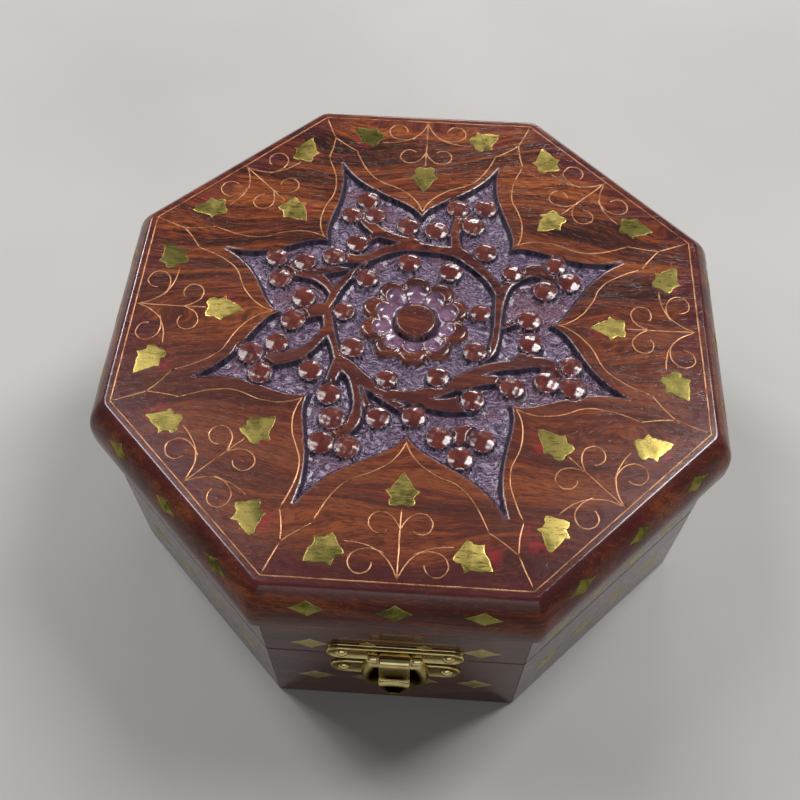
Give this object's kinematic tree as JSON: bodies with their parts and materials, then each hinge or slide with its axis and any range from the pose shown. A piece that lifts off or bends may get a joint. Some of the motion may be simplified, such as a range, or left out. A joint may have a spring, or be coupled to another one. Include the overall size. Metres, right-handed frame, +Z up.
{
  "type": "jewelry box",
  "caption": "Octagonal wooden jewelry box with a hinged lid carved with a flower star and inlaid with brass leaves, closed by a small brass snap hasp.",
  "frame": {"origin": "middle of the flat underside", "axes": "+Z up, clasp at -Y, hinges at +Y, X along the hinge line"},
  "size_m": [0.15, 0.1552, 0.0665],
  "materials": {
    "varnished_walls": "gloss varnish over dark reddish-brown rosewood",
    "carved_panel": "gloss varnish, straight grain, carved ground stained purple",
    "floor_board": "satin varnish",
    "velvet": "short-pile velvet over card",
    "copper_wire": "varnished copper-coloured wire, flush",
    "brass_inlay": "hand-filed brass sheet, scratched, varnished over",
    "brass_hinge": "plain rolled brass",
    "clasp_brass": "polished pressed brass"
  },
  "bodies": {
    "base": {"base_wall_front": "varnished_walls", "base_wall_front_right": "varnished_walls", "base_wall_right": "varnished_walls", "base_wall_rear_right": "varnished_walls", "base_wall_rear": "varnished_walls", "base_wall_rear_left": "varnished_walls", "base_wall_left": "varnished_walls", "base_wall_front_left": "varnished_walls", "base_floor_panel": "floor_board", "base_floor_lining": "velvet", "base_wall_lining": "velvet", "base_wall_diamonds": "brass_inlay", "clasp_keeper_plate": "clasp_brass", "clasp_keeper_screws": "clasp_brass", "left_hinge_base_leaf": "brass_hinge", "right_hinge_base_leaf": "brass_hinge", "left_hinge_pin": "brass_hinge", "right_hinge_pin": "brass_hinge", "hinge_base_screws": "brass_hinge"},
    "lid": {"lid_wall_front": "varnished_walls", "lid_wall_front_right": "varnished_walls", "lid_wall_right": "varnished_walls", "lid_wall_rear_right": "varnished_walls", "lid_wall_rear": "varnished_walls", "lid_wall_rear_left": "varnished_walls", "lid_wall_left": "varnished_walls", "lid_wall_front_left": "varnished_walls", "lid_top_panel": "carved_panel", "lid_edge_diamonds": "brass_inlay", "lid_wall_diamonds": "brass_inlay", "centre_leaf_inlays": "brass_inlay", "side_leaf_inlays": "brass_inlay", "border_wire_inlay": "copper_wire", "arch_wire_inlays": "copper_wire", "scroll_wire_inlays": "copper_wire", "lid_top_lining": "velvet", "lid_wall_lining": "velvet", "left_hinge_lid_leaf": "brass_hinge", "right_hinge_lid_leaf": "brass_hinge", "hinge_lid_screws": "brass_hinge", "clasp_upper_plate": "clasp_brass", "clasp_upper_screws": "clasp_brass", "clasp_pin": "clasp_brass"},
    "hasp": {"clasp_hasp": "clasp_brass"}
  },
  "joints": [
    {"name": "lid_hinge", "type": "hinge", "parent": "base", "child": "lid", "pos_m": [0, 0.0745, 0.03215], "axis": [-1, 0, 0], "range_deg": [0, 95]},
    {"name": "hasp_hinge", "type": "hinge", "parent": "lid", "child": "hasp", "pos_m": [0, -0.0747, 0.0368], "axis": [-1, 0, 0], "range_deg": [0, 110]}
  ]
}
